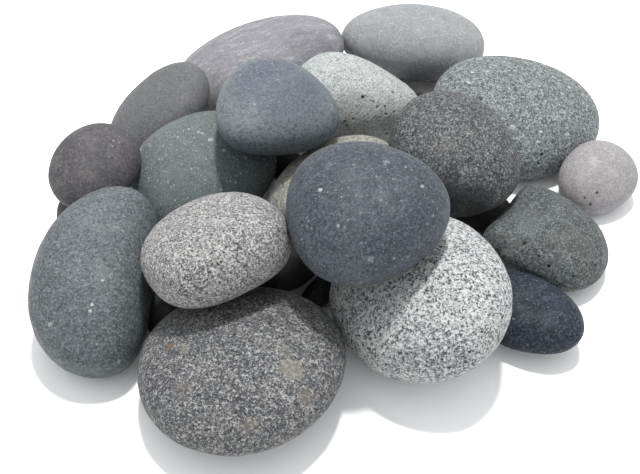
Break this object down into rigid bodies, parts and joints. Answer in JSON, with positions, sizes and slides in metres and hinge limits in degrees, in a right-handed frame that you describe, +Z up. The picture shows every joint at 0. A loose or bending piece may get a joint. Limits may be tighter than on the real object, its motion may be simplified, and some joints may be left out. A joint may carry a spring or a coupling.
{
  "type": "beach pebbles",
  "caption": "Low heap of smooth, sea-worn beach pebbles in black, grey, green-grey and speckled granite, lying loose on one another.",
  "frame": {"origin": "on the floor, under the middle of the heap's bounding box", "axes": "+Z up from the floor, +Y from the front stones to the back stones, +X to the right seen from the front"},
  "size_m": [0.2686, 0.2858, 0.0832],
  "materials": {
    "green_grey_stone": "sea-worn, smooth, matt",
    "speckled_stone": "sea-worn, fine grained, matt",
    "pale_granite": "sea-worn, salt-and-pepper grain, matt",
    "blue_black_stone": "sea-worn, smooth, matt",
    "dark_green_stone": "sea-worn, lumpy, a few pits",
    "pink_grey_stone": "sea-worn, smooth, matt",
    "flecked_stone": "sea-worn, long pale flecks, pits",
    "pale_grey_stone": "sea-worn, smooth, matt",
    "porous_stone": "sea-worn, many small pores",
    "streaked_stone": "sea-worn, curved pale streaks",
    "plain_grey_stone": "sea-worn, smooth, matt",
    "tan_stone": "sea-worn, smooth, matt",
    "near_black_stone": "sea-worn, smooth, matt",
    "brown_grey_stone": "sea-worn, pale patches, matt",
    "mottled_stone": "sea-worn, fine grained, mottled",
    "blue_grey_stone": "sea-worn, smooth, greener rim",
    "warm_granite": "sea-worn, salt-and-pepper grain, warm tint",
    "slate_stone": "sea-worn, smooth, faint white specks"
  },
  "bodies": {
    "root": {"green_front_left": "green_grey_stone", "speckled_front": "speckled_stone", "granite_front_right": "pale_granite", "blue_black_right": "blue_black_stone", "shouldered_right": "dark_green_stone", "pink_far_right": "pink_grey_stone", "flecked_back_right": "flecked_stone", "pale_back": "pale_grey_stone", "porous_middle": "porous_stone", "streaked_back_left": "streaked_stone", "plain_back_left": "plain_grey_stone", "green_left": "green_grey_stone", "tan_middle": "tan_stone", "black_far_left": "near_black_stone", "hidden_middle": "near_black_stone", "hidden_back": "plain_grey_stone", "hidden_left": "near_black_stone", "hidden_front": "near_black_stone", "hidden_right": "near_black_stone", "hidden_far": "near_black_stone", "hidden_inner": "near_black_stone", "hidden_upper": "plain_grey_stone", "brown_far_left": "brown_grey_stone", "mottled_right": "mottled_stone", "blue_grey_upper": "blue_grey_stone", "granite_upper_left": "warm_granite", "slate_top": "slate_stone"}
  },
  "joints": []
}
